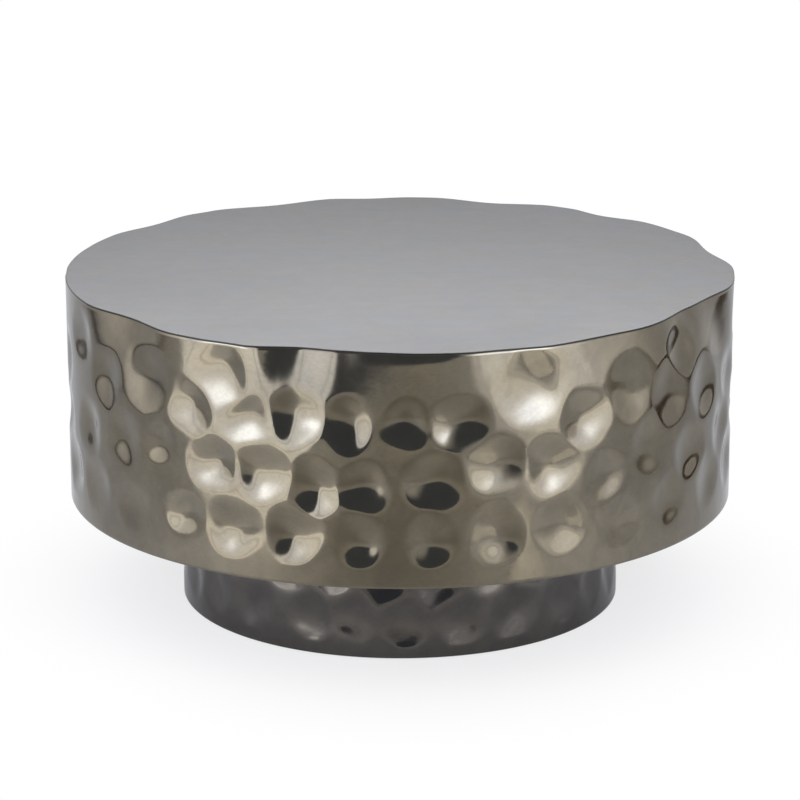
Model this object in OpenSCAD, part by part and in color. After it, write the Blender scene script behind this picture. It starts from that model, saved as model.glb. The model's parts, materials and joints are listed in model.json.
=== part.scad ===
// Round hammered-metal coffee table: a wide drum with a flat top, carried on a narrower drum base.
// Millimetres. The origin is on the floor under the middle of the table, +Z is up, -Y is the front.
// An angle on a wall is measured from the front: 0 faces -Y, 90 faces +X.

/* [Overall size] */
// Height of the table, from the floor to the top
table_h = 434; // [410:1:470]
// Height of the drum, from its lower edge to the top
drum_h = 290; // [265:1:310]
// Diameter of the drum at its plain lower hem
drum_d = 864; // [780:2:960]
// Diameter of the base drum
base_d = 574; // [500:2:640]
// Gap between the floor and the base wall
floor_gap = 2; // [1:0.5:4]

/* [Sheet metal] */
// Thickness of the hammered walls and of the underside sheet
sheet_t = 1.5; // [1:0.1:2]
// Thickness of the flat top sheet
top_t = 2; // [1.5:0.1:3]
// Height of the plain hem at the drum's lower edge
hem_h = 20; // [16:1:26]
// Height of the plain bands at the two edges of the base wall
band_h = 11; // [10.5:0.5:14]
// Height of the underside sheet above the drum's lower edge
under_recess = 3; // [2:0.5:4]

/* [Hammer marks] */
// Depth of a mark that was struck with full force
mark_depth = 9; // [6:0.5:11]
// Softness of the ridges between marks
ridge_soft = 0.9; // [0.6:0.1:1.2]
// How far the marks' outlines wander from perfect rounds
wander = 2.5; // [0:0.5:4]
// Spacing of the marks round the back, in degrees
back_pitch = 10.5; // [9:0.5:13]
// Radius of the marks round the back
back_mark_r = 43; // [34:1:46]

/* [Inner frame] */
// Number of uprights, spokes, base uprights and glides
supports = 6; // [4:1:8]
// Thickness of the flat board under the top sheet
board_t = 18; // [15:1:22]
// Thickness of the flat bar rings
bar_t = 4; // [3:0.5:6]
// Width of the flat bar rings in the base
bar_w = 45; // [40:1:55]
// Side of the square tube uprights in the drum
upright_w = 20; // [16:1:25]
// Side of the square tube spokes
spoke_w = 25; // [20:1:30]
// Side of the square tube uprights in the base
base_upright_w = 20; // [16:1:25]
// Wall of the square tubes
tube_t = 1.5; // [1.2:0.1:2]
// Width of the upper hoop's level leg
hoop_w = 30; // [25:1:36]
// Height of the upper hoop's standing leg
hoop_h = 25; // [18:1:30]
// Thickness of the upper hoop's two legs
hoop_t = 3; // [2.5:0.5:4]
// How far the lower hoop reaches in past the spokes' outer ends
hoop_seat = 24; // [18:1:30]

/* [Fasteners and glides] */
// Diameter of the bolts that join the base to the drum
bolt_d = 8; // [6:1:8]
// Diameter of the bolt holes
bolt_hole_d = 9; // [8.6:0.1:10]
// Length of the bolts under the head
bolt_l = 22; // [20:1:28]
// Diameter of the wood screws that hold the board
screw_d = 4.5; // [4:0.5:5]
// Length of the wood screws under the head
screw_l = 16; // [14:1:18]
// Diameter of the screws that hold the glides
glide_screw_d = 6; // [5:0.5:6]
// Length of the glide screws under the head
glide_screw_l = 12; // [12:0.5:16]
// Diameter of the glides
glide_d = 34; // [28:1:40]
// Height of the base ring above the base wall's lower edge
ring_recess = 4; // [3.5:0.5:4.5]

/* [Hidden] */
// Clearances: between a wall and what stands inside it, round a screw in its hole, and at a tube beside a leg
wall_gap = 0.3;
screw_gap = 0.1;
tube_gap = 0.2;
// Room left between the deepest mark and the frame behind it
mark_gap = 1;
$fn = 96;

// Hexagon sizes as multiples of the thread diameter: across flats, head height and nut height
hex_flats = 1.625;
hex_head = 0.66;
hex_nut = 0.85;
// Washer: outer diameter as a multiple of the bolt's, and thickness
washer_od = 2;
washer_t = 1.6;
// Round screw heads: diameter as a multiple of the screw's, and height
round_head = 2;
screw_head_h = 3;
glide_head_h = 3;
// Height of a glide screw's head above the floor
head_lift = 0.6;

// Levels
drum_z = table_h - drum_h;
under_z = drum_z + under_recess;
frame_z = under_z + sheet_t;
spoke_z = frame_z + bar_t;
upright_z = spoke_z + spoke_w;
board_z = table_h - top_t - board_t;
sheet_z = table_h - top_t;
ring_z = floor_gap + ring_recess;
base_top_z = under_z - bar_t;

// Angles of the supports, and of the bolts, board screws and glides halfway between them
step = 360 / supports;
support_at = [for (i = [0:supports - 1]) i * step];
between_at = [for (a = support_at) a + step / 2];

// The marks of each row, lowest row first: angle, height above or below the row, radius, force of
// the blow as a share of a full one, and how far the hammer leaned to one side. Those from -80 to
// 80 degrees are the front, and back_row() makes the rest of each row.
row_low = [
    [-74, 0, 46, 0.6, 0], [-61.5, 0, 42, 0.4, 0], [-49.5, -5, 36, 0.25, 0], [-37.3, 6, 34, 0.64, 0],
    [-27.7, 0, 42, 1, 0], [-17, 1, 41, 1, 0], [-6.2, -1, 38, 0.72, 0], [5, 0, 38, 0.7, 0],
    [15.5, 3, 42, 0.74, 3], [26.7, 6, 40, 0.68, 0], [38.5, -6, 36, 0.35, 0], [50, 2, 38, 0.6, 0],
    [64, 4, 42, 0.52, 0], [76.5, 8, 44, 0.6, 0]
];
row_mid = [
    [-79, -13, 46, 0.6, 0], [-64.5, -2, 44, 0.64, 0], [-52, 6, 44, 0.64, 0], [-43, 17, 36, 0.5, 0],
    [-31.3, 5, 40, 0.95, 0], [-22.3, 1, 43, 1, 0], [-13.5, -11, 41, 1, 0], [-6, -8, 37, 0.75, 0],
    [5.3, 0, 42, 0.85, 0], [15.3, 17, 44, 0.78, 4], [25, 8, 43, 0.95, 0], [35.3, -16, 38, 0.54, 0],
    [45, 8, 42, 0.56, -8], [56.5, -20, 42, 0.7, 0], [71, -13, 45, 0.6, 0]
];
row_high = [
    [-80, -15, 46, 0.6, 0], [-67.5, 36, 44, 0.44, 0], [-57.5, -3, 44, 0.74, 0], [-46, 14, 50, 0.8, 0],
    [-35.7, -3, 42, 0.72, 0], [-25.3, -8, 41, 0.9, 0], [-16.5, -1, 39, 0.95, 0], [-8.6, -7, 38, 0.8, 5],
    [0.8, -3, 35, 0.8, 0], [9.5, -4, 41, 1, 0], [31, -14, 44, 1, 0], [40.5, 10, 50, 0.6, 0],
    [50.5, -8, 48, 0.8, 0], [62, -20, 46, 0.85, 0], [71.5, 36, 46, 0.12, 0], [76.5, -28, 44, 0.55, 0]
];
row_rim = [
    [-170, -4, 48, 0.9, 0], [-140, 2, 45, 0.9, 0], [-105, -6, 50, 0.9, 0], [-88, 3, 43, 0.9, 0],
    [-29.5, -2, 52, 0.9, 0], [22, -8, 54, 0.95, 0], [54, -4, 38, 0.6, 0], [85, 0, 45, 0.9, 0],
    [120, -2, 52, 0.9, 0], [148, 2, 45, 0.9, 0]
];
// Heights of the rows as shares of the drum's height
row_at = [0.208, 0.461, 0.718, 0.861];

// Places where the rim is bent in: angle, half of the width in degrees, depth, how far down it
// reaches, and how upright it stands near the top
rim_bends = [
    [-155, 13, 15, 110, 0], [-127, 11, 9, 90, 0.5], [-51.5, 13, 13, 110, 0], [-17.5, 8, 10.5, 125, 0.45],
    [-12, 8, 7, 110, 0.3], [-5.5, 10, 7, 250, 0], [2, 11, 1.2, 14, 0], [17, 8, 3.5, 150, 0.5],
    [37, 17, 8, 110, 0.3], [58.5, 18, 20, 110, 0], [70, 10, 6, 200, 0.5], [103, 13, 11.5, 90, 0.5],
    [138, 10, 14, 110, 0], [162, 12.5, 16, 120, 0.3], [-174, 8, 6.5, 100, 0.6]
];

// The base's front marks, lower row and upper row, in the same form
base_low = [
    [-68, 2, 38, 0.45, 0], [-55, -2, 40, 0.45, 0], [-41, 0, 42, 0.5, 0], [-23, -3, 38, 0.52, 0],
    [-12, 1, 38, 0.52, 0], [1, -4, 40, 0.57, 0], [16, -2, 42, 0.66, 0], [30.5, -2, 42, 0.66, 0],
    [46, -3, 42, 0.46, 0], [58, 0, 38, 0.44, 0], [71, 2, 40, 0.44, 0]
];
base_high = [
    [-71, 0, 40, 0.5, 0], [-57, 2, 40, 0.5, 0], [-44, 0, 40, 0.45, 0], [-30.5, 0, 36, 0.6, 0],
    [-17.5, 0, 34, 0.56, 0], [-3.5, 0, 42, 0.75, 0], [10.5, -9, 40, 0.72, 0], [23.5, -1, 36, 0.62, 0],
    [36, 0, 38, 0.58, 0], [51, 0, 40, 0.5, 0], [64, 1, 38, 0.5, 0], [77, 0, 38, 0.5, 0]
];
base_row_at = [0.355, 0.73];

// Angle brought into -180 to 180
function turned(a) = (a + 900) % 360 - 180;
function total(list) = len(list) == 0 ? 0 : list * [for (v = list) 1];
function smooth(x) = let (t = min(max(x, 0), 1)) t * t * (3 - 2 * t);

// The marks of one row round the back, with small drifts that follow sines so that no two match
function back_row(start, pitch, size, force, drift) = [
    for (i = [0:floor((360 - 2 * start) / pitch)])
        [start + i * pitch + 1.5 * sin(i * 137 + drift), 9 * sin(i * 101 + 2 * drift),
         size * (1 + 0.08 * sin(i * 73 + drift)), force * (1 + 0.2 * sin(i * 59 + drift)),
         7 * sin(i * 83 + drift)]
];
// The same marks with their height above the wall's lower edge and their depth
function placed(row, height) = [for (m = row) [m[0], height + m[1], m[2], mark_depth * m[3], m[4]]];

drum_marks = concat(
    placed(concat(row_low, back_row(87, back_pitch, back_mark_r, 0.8, 40)), row_at[0] * drum_h),
    placed(concat(row_mid, back_row(83, back_pitch, back_mark_r, 0.8, 160)), row_at[1] * drum_h),
    placed(concat(row_high, back_row(88, back_pitch, back_mark_r, 0.8, 290)), row_at[2] * drum_h),
    placed(row_rim, row_at[3] * drum_h)
);
base_wall_h = under_z - floor_gap;
function base_back(start, drift) = back_row(start, 1.3 * back_pitch, 0.95 * back_mark_r, 0.5, drift);
base_marks = concat(
    placed(concat(base_low, base_back(84, 70)), base_row_at[0] * base_wall_h),
    placed(concat(base_high, base_back(90, 210)), base_row_at[1] * base_wall_h)
);

// Depth of the marks at angle a and height h on a wall of radius r. A mark's bowl is its depth
// times (1 - u) squared, where u is the squared distance from its middle over its squared radius,
// and the lean shifts its deepest place. The bowls join through the logarithm of a sum, which
// leaves soft ridges, and a small wave keeps them from being perfect rounds.
function marked(a, h, r, marks) = let (
    aside = wander * sin(29 * a + 3.1 * h),
    upward = wander * sin(31 * a - 2.7 * h + 70),
    bowls = [
        for (m = marks)
            let (
                across = r * PI / 180 * turned(a - m[0]) + aside,
                along = h - m[1] + upward,
                u = (across * across + along * along) / (m[2] * m[2])
            )
            if (u < 1)
                let (leaned = across - m[4] * (1 - u))
                let (v = min((leaned * leaned + along * along) / (m[2] * m[2]), 1))
                exp(m[3] * (1 - v) * (1 - v) / ridge_soft) - 1
    ]
) ridge_soft * ln(1 + total(bowls));

// Depth of the rim's bends at angle a and height h. Up the wall each bend grows from nothing at its
// reach to its full depth at the top, and sooner where it stands upright.
function bent(a, h, top) = total([
    for (b = rim_bends)
        let (d = turned(a - b[0]) / b[1], t = ((h - top) / b[3] + 1) / (1 - b[4] / 3))
        if (abs(d) < 1 && t > 0) b[2] * pow(cos(90 * d), 2) * t * t * (1 + 2 * b[4] * (1 - t))
]);

// Radius of each wall at angle a and height h above its own lower edge
drum_wall_h = drum_h - top_t;
fade = 9;
function drum_r_at(a, h) = drum_d / 2 - bent(a, h, drum_wall_h)
    - marked(a, h, drum_d / 2, drum_marks) * smooth((h - hem_h) / fade);
function base_r_at(a, h) = base_d / 2 - marked(a, h, base_d / 2, base_marks)
    * smooth((h - band_h) / fade) * smooth((base_wall_h - band_h - h) / fade);

// Points along each wall: columns round it, and heights with a row at each hem
drum_cols = 132;
base_cols = 96;
function even(low, high, n) = [for (i = [0:n]) low + (high - low) * i / n];
drum_rows = concat([0], even(hem_h, drum_wall_h, 18));
base_rows = concat([0], even(band_h, base_wall_h - band_h, 8), [base_wall_h]);
function column(j, cols) = 360 * j / cols;
function on_wall(a, r, z) = [r * sin(a), -r * cos(a), z];

// Deepest place of each wall, sampled where marks and bends are deepest, and the frame behind it
drum_deepest = drum_d / 2 - min([
    for (j = [0:drum_cols - 1], s = [0.65, 0.72, 0.79, 0.86, 0.93, 1])
        drum_r_at(column(j, drum_cols), s * drum_wall_h)
]);
base_deepest = base_d / 2 - min([
    for (j = [0:base_cols - 1], s = base_row_at) base_r_at(column(j, base_cols), s * base_wall_h)
]);
frame_r = drum_d / 2 - drum_deepest - sheet_t - mark_gap;
base_frame_r = base_d / 2 - base_deepest - sheet_t - mark_gap;
hem_r = drum_d / 2 - sheet_t - wall_gap;
ring_r = base_d / 2 - sheet_t - wall_gap;
ring_in_r = ring_r - bar_w;
bolt_circle_r = ring_r - bar_w / 2;
screw_circle_r = frame_r - hoop_w / 2;

// Closed shell: the outer face up, the inner face down, one ring of points for each height
module shell_wall(heights, cols, radii, z) {
    n = len(heights);
    points = [
        for (k = [0:2 * n - 1], j = [0:cols - 1])
            let (outer = k < n, i = outer ? k : 2 * n - 1 - k)
            on_wall(column(j, cols), radii[i][j] - (outer ? 0 : sheet_t), z + heights[i])
    ];
    function at(k, j) = (k % (2 * n)) * cols + j % cols;
    faces = [
        for (k = [0:2 * n - 1], j = [0:cols - 1], half = [0, 1])
            half == 0 ? [at(k, j), at(k + 1, j), at(k + 1, j + 1)]
                      : [at(k, j), at(k + 1, j + 1), at(k, j + 1)]
    ];
    polyhedron(points, faces);
}

// Ring of flat bar or sheet between two radii
module flat_ring(outer, inner, t) {
    difference() {
        cylinder(h = t, r = outer);
        translate([0, 0, -1]) cylinder(h = t + 2, r = inner);
    }
}

// Copies at the given angles, pushed out to a radius. The copies' own +X points outwards.
module around(angles, r) {
    for (a = angles) rotate(a - 90) translate([r, 0, 0]) children();
}

module holes(d, r, z, t) {
    around(between_at, r) translate([0, 0, z - 1]) cylinder(h = t + 2, d = d, $fn = 32);
}

// Square tube along +Z, with its outer face at x = 0
module upright_tube(w, length) {
    translate([-w, -w / 2, 0]) difference() {
        cube([w, w, length]);
        translate([tube_t, tube_t, -1]) cube([w - 2 * tube_t, w - 2 * tube_t, length + 2]);
    }
}

// Distance at which a tube's two outer corners reach the radius
function tube_face(r, w) = sqrt(r * r - w * w / 4);

module top_sheet() {
    color("#9a9a9c") translate([0, 0, sheet_z]) linear_extrude(top_t)
        polygon([
            for (j = [0:drum_cols - 1])
                let (a = column(j, drum_cols), r = drum_r_at(a, drum_wall_h)) [r * sin(a), -r * cos(a)]
        ]);
}

module top_board() {
    color("#b08d62") difference() {
        translate([0, 0, board_z]) cylinder(h = board_t, r = frame_r);
        around(between_at, screw_circle_r) translate([0, 0, board_z - 1])
            cylinder(h = screw_l - hoop_t + 2, d = screw_d + 2 * screw_gap, $fn = 32);
    }
}

module drum_wall() {
    color("#6a6558") shell_wall(
        drum_rows, drum_cols,
        [for (h = drum_rows) [for (j = [0:drum_cols - 1]) drum_r_at(column(j, drum_cols), h)]],
        drum_z
    );
}

module base_wall() {
    color("#5a5855") shell_wall(
        base_rows, base_cols,
        [for (h = base_rows) [for (j = [0:base_cols - 1]) base_r_at(column(j, base_cols), h)]],
        floor_gap
    );
}

module underside_sheet() {
    color("#2e2e2e") difference() {
        translate([0, 0, under_z]) flat_ring(hem_r, ring_in_r, sheet_t);
        holes(bolt_hole_d, bolt_circle_r, under_z, sheet_t);
    }
}

// Rolled angle: the level leg carries the board, the standing leg stiffens it
module upper_hoop() {
    color("#303030") difference() {
        translate([0, 0, board_z]) rotate_extrude() polygon([
            [frame_r - hoop_w, -hoop_t], [frame_r - hoop_t, -hoop_t], [frame_r - hoop_t, -hoop_h],
            [frame_r, -hoop_h], [frame_r, 0], [frame_r - hoop_w, 0]
        ]);
        holes(screw_d + 4 * screw_gap, screw_circle_r, board_z - hoop_t, hoop_t);
    }
}

// Rolled unequal angle inside the hem: its standing leg ends just below the first marks
module lower_hoop() {
    in_r = frame_r - hoop_seat;
    leg_h = drum_z + hem_h - wall_gap - frame_z;
    color("#303030") translate([0, 0, frame_z]) rotate_extrude() polygon([
        [in_r, 0], [hem_r, 0], [hem_r, leg_h], [hem_r - bar_t, leg_h], [hem_r - bar_t, bar_t], [in_r, bar_t]
    ]);
}

module joint_ring() {
    color("#303030") difference() {
        translate([0, 0, frame_z]) flat_ring(ring_r, ring_in_r, bar_t);
        holes(bolt_hole_d, bolt_circle_r, frame_z, bar_t);
    }
}

module base_top_ring() {
    color("#303030") difference() {
        translate([0, 0, base_top_z]) flat_ring(ring_r, ring_in_r, bar_t);
        holes(bolt_hole_d, bolt_circle_r, base_top_z, bar_t);
    }
}

module base_bottom_ring() {
    color("#303030") difference() {
        translate([0, 0, ring_z]) flat_ring(ring_r, ring_in_r, bar_t);
        holes(glide_screw_d + 4 * screw_gap, bolt_circle_r, ring_z, bar_t);
    }
}

module upright(a) {
    color("#303030") around([a], tube_face(frame_r - hoop_t - tube_gap, upright_w))
        translate([0, 0, upright_z]) upright_tube(upright_w, board_z - hoop_t - upright_z);
}

// Level square tube from the joint ring's inner edge out over the lower hoop
module spoke(a) {
    outer = tube_face(frame_r, spoke_w);
    length = outer - ring_in_r;
    color("#303030") around([a], ring_in_r) translate([length, 0, spoke_z])
        rotate([0, -90, 0]) translate([spoke_w, 0, 0]) upright_tube(spoke_w, length);
}

module base_upright(a) {
    color("#303030") around([a], tube_face(base_frame_r, base_upright_w))
        translate([0, 0, ring_z + bar_t]) upright_tube(base_upright_w, base_top_z - ring_z - bar_t);
}

module joining_bolts() {
    z = base_top_z - washer_t;
    color("#b8b8ba") around(between_at, bolt_circle_r) translate([0, 0, z]) {
        translate([0, 0, -hex_head * bolt_d])
            cylinder(h = hex_head * bolt_d, d = hex_flats * bolt_d / cos(30), $fn = 6);
        cylinder(h = bolt_l, d = bolt_d, $fn = 32);
    }
}

module joining_washers() {
    color("#b8b8ba") around(between_at, bolt_circle_r) translate([0, 0, base_top_z - washer_t])
        difference() {
            cylinder(h = washer_t, d = washer_od * bolt_d, $fn = 48);
            translate([0, 0, -1]) cylinder(h = washer_t + 2, d = bolt_d + 4 * screw_gap, $fn = 32);
        }
}

module nuts(d, z, r) {
    color("#b8b8ba") around(between_at, r) translate([0, 0, z]) difference() {
        cylinder(h = hex_nut * d, d = hex_flats * d / cos(30), $fn = 6);
        translate([0, 0, -1]) cylinder(h = hex_nut * d + 2, d = d + 2 * screw_gap, $fn = 32);
    }
}

module joining_nuts() nuts(bolt_d, spoke_z, bolt_circle_r);
module glide_nuts() nuts(glide_screw_d, ring_z + bar_t, bolt_circle_r);

// Round-headed screws pointing up, with the underside of the head at height z
module round_screws(d, length, head_h, z, r) {
    color("#b8b8ba") around(between_at, r) translate([0, 0, z]) {
        translate([0, 0, -head_h]) cylinder(h = head_h, d = round_head * d, $fn = 32);
        cylinder(h = length, d = d, $fn = 32);
    }
}

module board_screws() round_screws(screw_d, screw_l, screw_head_h, board_z - hoop_t, screw_circle_r);
module glide_screws() round_screws(glide_screw_d, glide_screw_l, glide_head_h, glide_seat, bolt_circle_r);

// Plain nylon glide, with a recess that keeps its screw's head off the floor
glide_seat = head_lift + glide_head_h;
module glide(a) {
    color("#3a3a3a") around([a], bolt_circle_r) difference() {
        cylinder(h = ring_z, d = glide_d, $fn = 64);
        translate([0, 0, -1]) cylinder(h = ring_z + 2, d = glide_screw_d + 4 * screw_gap, $fn = 32);
        translate([0, 0, -1]) cylinder(h = glide_seat + 1, d = round_head * glide_screw_d + 1, $fn = 32);
    }
}

top_sheet();
top_board();
drum_wall();
underside_sheet();
upper_hoop();
lower_hoop();
joint_ring();
base_wall();
base_top_ring();
base_bottom_ring();
joining_bolts();
joining_washers();
joining_nuts();
board_screws();
glide_screws();
glide_nuts();
for (i = [1:supports]) {
    upright(support_at[i - 1]);
    spoke(support_at[i - 1]);
    base_upright(support_at[i - 1]);
    glide(between_at[i - 1]);
}
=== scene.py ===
# %% [markdown]
# # A hammered-metal drum table
# The table is a wide drum with a flat satin top, standing on a narrower drum. Both walls are
# sheet metal, struck all over with a round-faced hammer and plated in dark polished nickel.
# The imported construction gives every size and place. This script dresses it: it models the two
# hammered walls and the top sheet finely enough for mirror reflections, and gives every piece
# its finish. Everything is in metres, +Z is up and -Y is the front.

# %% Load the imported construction
import json
import math

import bpy
import numpy as np
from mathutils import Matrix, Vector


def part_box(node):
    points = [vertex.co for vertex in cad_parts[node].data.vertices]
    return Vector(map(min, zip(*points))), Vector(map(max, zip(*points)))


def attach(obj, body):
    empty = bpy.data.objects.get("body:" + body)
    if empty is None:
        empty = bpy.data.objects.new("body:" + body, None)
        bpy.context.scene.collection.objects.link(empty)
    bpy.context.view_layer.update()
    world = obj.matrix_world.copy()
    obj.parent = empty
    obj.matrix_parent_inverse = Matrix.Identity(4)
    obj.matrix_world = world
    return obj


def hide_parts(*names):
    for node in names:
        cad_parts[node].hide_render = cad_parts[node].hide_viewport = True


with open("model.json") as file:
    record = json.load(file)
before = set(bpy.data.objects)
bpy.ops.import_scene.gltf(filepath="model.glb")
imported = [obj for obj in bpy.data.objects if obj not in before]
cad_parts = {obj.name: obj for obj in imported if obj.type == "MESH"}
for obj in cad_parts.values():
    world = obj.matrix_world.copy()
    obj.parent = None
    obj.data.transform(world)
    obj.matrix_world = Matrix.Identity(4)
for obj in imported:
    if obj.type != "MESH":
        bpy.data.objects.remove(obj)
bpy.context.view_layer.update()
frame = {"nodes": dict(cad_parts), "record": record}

# %% [markdown]
# ## Camera
# The outlines of the top, the hem and the base fit a long lens about four metres away, a little
# above the table. A long lens keeps the drum's ellipses slim and nearly parallel, so the distance
# matters as much as the angle. A camera could be aimed at the table by a constraint, but a
# distance, an elevation and a pitch in plain numbers are easier to fit to an outline.

# %% Camera
CAMERA_DISTANCE = 4.3
CAMERA_ELEVATION = 19.12
CAMERA_PITCH = 15.84
LENS_MM = 144.86
SENSOR_MM = 36.0

elevation = math.radians(CAMERA_ELEVATION)
camera_data = bpy.data.cameras.new("camera")
camera_data.sensor_width = SENSOR_MM
camera_data.lens = LENS_MM
camera = bpy.data.objects.new("camera", camera_data)
camera.location = (0, -CAMERA_DISTANCE * math.cos(elevation), CAMERA_DISTANCE * math.sin(elevation))
camera.rotation_euler = (math.radians(90 - CAMERA_PITCH), 0, 0)
bpy.context.scene.collection.objects.link(camera)
bpy.context.scene.camera = camera
print("camera:", CAMERA_DISTANCE, "m away,", CAMERA_ELEVATION, "degrees up,", LENS_MM, "mm lens")

# %% [markdown]
# ## Sizes from the construction
# The walls and the top replace pieces of the construction, so their radii and heights are read
# from those pieces' boxes. Only the hammering and the plain strips beside it, which a box can't
# tell, are given here again.

# %% Sizes
MM = 0.001
HEM = 20 * MM  # plain strip along the drum's lower edge
BAND = 11 * MM  # plain strips along both edges of the base
FADE = 9 * MM  # height over which the marks begin beside a plain strip


def levels_and_radius(node):
    """Lowest level, highest level and outer radius of a round node, from its box."""
    low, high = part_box(node)
    return low.z, high.z, (high.x - low.x) / 2


drum_low, drum_high, drum_radius = levels_and_radius("drum_wall")
base_low_z, base_high_z, base_radius = levels_and_radius("base_wall")
sheet_low, sheet_high, _ = levels_and_radius("top_sheet")
underside_low, underside_high, _ = levels_and_radius("underside_sheet")
SHEET = underside_high - underside_low  # the underside lies flat, so its height is the sheet's
drum_wall_height = drum_high - drum_low
drum_height = sheet_high - drum_low
base_height = base_high_z - base_low_z
print("drum radius", round(drum_radius, 4), "base radius", round(base_radius, 4), "sheet", round(SHEET, 4))

# %% [markdown]
# ## Where the hammer struck
# On the real table each mark is a shallow bowl left by a round-faced hammer, in four loose rows
# round the drum and two round the base. A noise texture would give lumps without the round
# edges, so each mark in front is listed one by one: its angle from the front in degrees, its height
# above or below its row in millimetres, the radius at which it fades out, the force of the blow
# as a share of a full one, and how far the hammer leaned to one side. A bend of the rim has its
# angle, half its width in degrees, its depth, how far down it reaches and how upright it stands
# near the top. The rim's few marks and its bends are listed all the way round.

# %% The marks and bends, listed
ROW_AT = [0.208, 0.461, 0.718, 0.861]  # heights of the drum's rows, as shares of its height
BASE_ROW_AT = [0.355, 0.73]  # and of the base's rows

row_low = [
    [-74, 0, 46, 0.6, 0], [-61.5, 0, 42, 0.4, 0], [-49.5, -5, 36, 0.25, 0], [-37.3, 6, 34, 0.64, 0],
    [-27.7, 0, 42, 1, 0], [-17, 1, 41, 1, 0], [-6.2, -1, 38, 0.72, 0], [5, 0, 38, 0.7, 0],
    [15.5, 3, 42, 0.74, 3], [26.7, 6, 40, 0.68, 0], [38.5, -6, 36, 0.35, 0], [50, 2, 38, 0.6, 0],
    [64, 4, 42, 0.52, 0], [76.5, 8, 44, 0.6, 0],
]
row_mid = [
    [-79, -13, 46, 0.6, 0], [-64.5, -2, 44, 0.64, 0], [-52, 6, 44, 0.64, 0], [-43, 17, 36, 0.5, 0],
    [-31.3, 5, 40, 0.95, 0], [-22.3, 1, 43, 1, 0], [-13.5, -11, 41, 1, 0], [-6, -8, 37, 0.75, 0],
    [5.3, 0, 42, 0.85, 0], [15.3, 17, 44, 0.78, 4], [25, 8, 43, 0.95, 0], [35.3, -16, 38, 0.54, 0],
    [45, 8, 42, 0.56, -8], [56.5, -20, 42, 0.7, 0], [71, -13, 45, 0.6, 0],
]
row_high = [
    [-80, -15, 46, 0.6, 0], [-67.5, 36, 44, 0.44, 0], [-57.5, -3, 44, 0.74, 0], [-46, 14, 50, 0.8, 0],
    [-35.7, -3, 42, 0.72, 0], [-25.3, -8, 41, 0.9, 0], [-16.5, -1, 39, 0.95, 0], [-8.6, -7, 38, 0.8, 5],
    [0.8, -3, 35, 0.8, 0], [9.5, -4, 41, 1, 0], [31, -14, 44, 1, 0], [40.5, 10, 50, 0.6, 0],
    [50.5, -8, 48, 0.8, 0], [62, -20, 46, 0.85, 0], [71.5, 36, 46, 0.12, 0], [76.5, -28, 44, 0.55, 0],
]
row_rim = [
    [-170, -4, 48, 0.9, 0], [-140, 2, 45, 0.9, 0], [-105, -6, 50, 0.9, 0], [-88, 3, 43, 0.9, 0],
    [-29.5, -2, 52, 0.9, 0], [22, -8, 54, 0.95, 0], [54, -4, 38, 0.6, 0], [85, 0, 45, 0.9, 0],
    [120, -2, 52, 0.9, 0], [148, 2, 45, 0.9, 0],
]
rim_bends = [
    [-155, 13, 15, 110, 0], [-127, 11, 9, 90, 0.5], [-51.5, 13, 13, 110, 0], [-17.5, 8, 10.5, 125, 0.45],
    [-12, 8, 7, 110, 0.3], [-5.5, 10, 7, 250, 0], [2, 11, 1.2, 14, 0], [17, 8, 3.5, 150, 0.5],
    [37, 17, 8, 110, 0.3], [58.5, 18, 20, 110, 0], [70, 10, 6, 200, 0.5], [103, 13, 11.5, 90, 0.5],
    [138, 10, 14, 110, 0], [162, 12.5, 16, 120, 0.3], [-174, 8, 6.5, 100, 0.6],
]
base_low = [
    [-68, 2, 38, 0.45, 0], [-55, -2, 40, 0.45, 0], [-41, 0, 42, 0.5, 0], [-23, -3, 38, 0.52, 0],
    [-12, 1, 38, 0.52, 0], [1, -4, 40, 0.57, 0], [16, -2, 42, 0.66, 0], [30.5, -2, 42, 0.66, 0],
    [46, -3, 42, 0.46, 0], [58, 0, 38, 0.44, 0], [71, 2, 40, 0.44, 0],
]
base_high = [
    [-71, 0, 40, 0.5, 0], [-57, 2, 40, 0.5, 0], [-44, 0, 40, 0.45, 0], [-30.5, 0, 36, 0.6, 0],
    [-17.5, 0, 34, 0.56, 0], [-3.5, 0, 42, 0.75, 0], [10.5, -9, 40, 0.72, 0], [23.5, -1, 36, 0.62, 0],
    [36, 0, 38, 0.58, 0], [51, 0, 40, 0.5, 0], [64, 1, 38, 0.5, 0], [77, 0, 38, 0.5, 0],
]
print("placed by hand:", sum(map(len, (row_low, row_mid, row_high, row_rim, base_low, base_high))), "marks")

# %% [markdown]
# ## Marks round the back
# The photograph doesn't show the table's back, so a formula carries the other rows on there in
# the same rhythm. Random numbers would serve as well, but a few sines give the same marks on
# every run, and the construction's own source works out the same ones.

# %% All the marks as arrays
MARK_DEPTH = 9 * MM  # depth of a mark that was struck with full force
BACK_PITCH = 10.5  # degrees from one mark to the next round the back
BACK_MARK = 43  # radius of those marks, in millimetres
BACK_FORCE = 0.8  # their force, as a share of a full blow
BASE_BACK = (1.3 * BACK_PITCH, 0.95 * BACK_MARK, 0.5)  # the same three values for the base
STRAY_ANGLE = 1.5  # how far such a mark strays from the even steps, in degrees
STRAY_HEIGHT = 9  # from its row's height, in millimetres
STRAY_SIZE = 0.08  # from the radius, as a share of it
STRAY_FORCE = 0.2  # from the force, as a share of it
STRAY_LEAN = 7  # and from an upright blow, in millimetres


def sine(degrees):
    return math.sin(math.radians(degrees))


def cosine(degrees):
    return math.cos(math.radians(degrees))


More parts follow.
